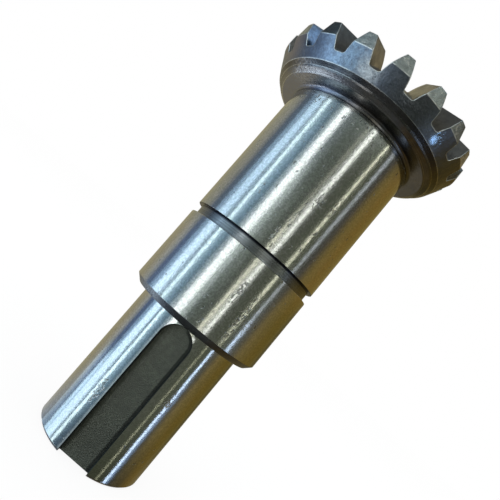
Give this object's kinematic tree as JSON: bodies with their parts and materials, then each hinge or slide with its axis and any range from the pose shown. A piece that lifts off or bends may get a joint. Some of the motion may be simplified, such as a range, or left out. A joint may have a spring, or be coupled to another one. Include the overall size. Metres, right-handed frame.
{
  "type": "gearbox shaft",
  "caption": "Gearbox pinion shaft: a straight bevel gear forged on its end, ground bearing seats parted by a relief groove, and a keyed end with a round-ended keyway.",
  "frame": {"origin": "centre of the keyed end's face, on the shaft's axis", "axes": "+Z along the shaft's axis, from the keyed end to the gear's front face; -Y out of the keyway's mouth"},
  "size_m": [0.0676, 0.0678, 0.1393],
  "materials": {
    "hardened_steel": "ground bright on the seats and the keyed end, dark heat scale in the keyway, the groove and on the gear's back"
  },
  "bodies": {
    "root": {"pinion_shaft": "hardened_steel"}
  },
  "joints": []
}
